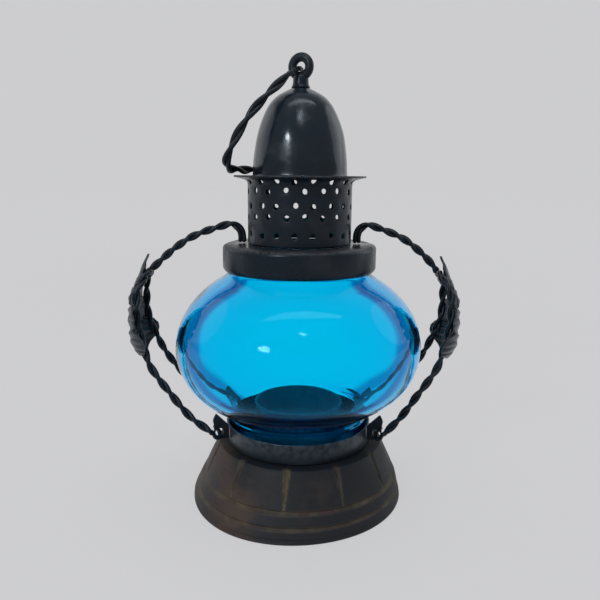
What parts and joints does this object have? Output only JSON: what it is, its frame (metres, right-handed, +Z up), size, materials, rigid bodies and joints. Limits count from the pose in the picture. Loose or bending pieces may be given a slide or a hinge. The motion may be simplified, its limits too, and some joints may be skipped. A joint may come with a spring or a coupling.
{
  "type": "tealight table lantern",
  "caption": "Table lantern with a turned wooden base, blue glass globe, perforated iron sleeve, lift-off dome lid with a wire bail, and twisted wire side frames with leaves.",
  "frame": {"origin": "centre of the wooden base's flat underside", "axes": "+Z up along the lantern's axis, +X towards the right-hand leaf seen from the front, -Y towards the viewer of the front"},
  "size_m": [0.1648, 0.1198, 0.2147],
  "materials": {
    "dark_wood": "matte",
    "black_iron": "satin",
    "black_wire": "satin",
    "leaf_iron": "satin",
    "plain_steel": "brushed",
    "blue_glass": "gloss"
  },
  "bodies": {
    "lantern": {"wood_base": "dark_wood", "base_pan": "black_iron", "candle_cup": "black_iron", "cup_screw": "plain_steel", "glass_globe": "blue_glass", "globe_cap": "black_iron", "perforated_sleeve": "black_iron", "ear_front_right": "black_iron", "ear_back_right": "black_iron", "ear_front_left": "black_iron", "ear_back_left": "black_iron", "upper_arm_left": "black_wire", "leaf_hoop_left": "black_wire", "leaf_left": "leaf_iron", "upper_arm_right": "black_wire", "leaf_hoop_right": "black_wire", "leaf_right": "leaf_iron"},
    "lid": {"dome_lid": "black_iron", "dome_eye": "black_iron"},
    "bail": {"bail": "black_wire"}
  },
  "joints": [
    {"name": "dome_lift", "type": "slide", "parent": "lantern", "child": "lid", "axis": [0, 0, 1], "range_m": [0, 0.06]},
    {"name": "bail_swing", "type": "hinge", "parent": "lid", "child": "bail", "pos_m": [0, 0, 0.20843], "axis": [0.4226, 0.9063, 0], "range_deg": [0, 297]}
  ]
}
